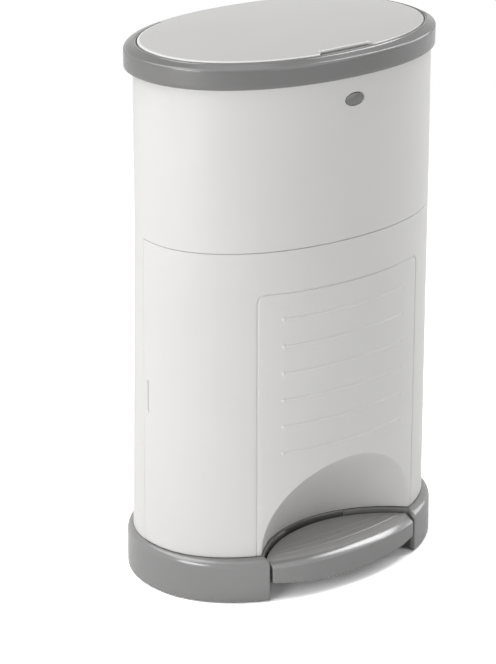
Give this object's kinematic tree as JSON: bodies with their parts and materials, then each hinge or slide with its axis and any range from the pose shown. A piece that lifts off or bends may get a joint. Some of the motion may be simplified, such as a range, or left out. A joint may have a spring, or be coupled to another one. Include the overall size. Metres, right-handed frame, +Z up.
{
  "type": "nappy bin",
  "caption": "Oval pedal nappy bin with a lidded flip-up cover ring, front door, toe pedal and ring refill cassette.",
  "frame": {"origin": "middle of the oval footprint, on the floor", "axes": "+Z up, the front with the pedal and door faces -Y, +X to the right seen from the front"},
  "size_m": [0.28, 0.2, 0.46],
  "materials": {
    "white_plastic": "satin white moulding",
    "lid_plastic": "satin warm white moulding",
    "grey_plastic": "satin mid grey moulding",
    "inner_plastic": "matt light grey moulding",
    "dark_plastic": "matt black moulding",
    "rubber": "matt rubber",
    "steel": "bright zinc plated",
    "film": "pleated thin film"
  },
  "bodies": {
    "bin": {"base_tray": "grey_plastic", "rubber_feet": "rubber", "base_screws": "steel", "body_shell": "white_plastic", "door_pins": "steel", "pedal_axle": "steel", "rod_cover": "white_plastic", "latch_guide": "white_plastic", "latch_spring": "steel", "cassette_seat": "inner_plastic", "refill_tub": "white_plastic", "refill_film": "film", "refill_cap": "inner_plastic", "film_cutter": "dark_plastic", "cutter_blade": "steel"},
    "door": {"front_door": "white_plastic"},
    "pedal": {"pedal": "grey_plastic", "pedal_lever": "dark_plastic", "pedal_screws": "steel"},
    "rod": {"push_rod": "steel"},
    "cover": {"cover_ring": "grey_plastic", "throat_funnel": "inner_plastic", "throat_seal": "rubber", "cover_screws": "steel", "cover_hinge_pin": "steel", "lid_hinge_pins": "steel"},
    "lid": {"lid": "lid_plastic", "lid_liner": "inner_plastic", "lid_seal": "rubber", "liner_screws": "steel"},
    "latch": {"latch_button": "grey_plastic", "latch_slide": "dark_plastic"}
  },
  "joints": [
    {"name": "lid_hinge", "type": "hinge", "parent": "cover", "child": "lid", "pos_m": [0, 0.089, 0.4455], "axis": [-1, 0, 0], "range_deg": [0, 75]},
    {"name": "cover_hinge", "type": "hinge", "parent": "bin", "child": "cover", "pos_m": [0, 0.0895, 0.4355], "axis": [-1, 0, 0], "range_deg": [0, 85]},
    {"name": "pedal_pivot", "type": "hinge", "parent": "bin", "child": "pedal", "pos_m": [0, -0.033, 0.014], "axis": [1, 0, 0], "range_deg": [0, 7.7]},
    {"name": "rod_slide", "type": "slide", "parent": "bin", "child": "rod", "axis": [0, 0, 1], "range_m": [0, 0.0148]},
    {"name": "door_hinge", "type": "hinge", "parent": "bin", "child": "door", "pos_m": [0.1265, 0, 0.1], "axis": [0, 0, 1], "range_deg": [0, 105]},
    {"name": "button_press", "type": "slide", "parent": "bin", "child": "latch", "axis": [0, 1, 0], "range_m": [0, 0.0035], "stiffness_N_per_m": 500, "deforming": ["latch_spring"]}
  ],
  "couplings": [
    {"joint": "pedal_pivot", "follows": "lid_hinge", "ratio": 0.1},
    {"joint": "rod_slide", "follows": "lid_hinge", "m_per_rad": 0.01123}
  ]
}
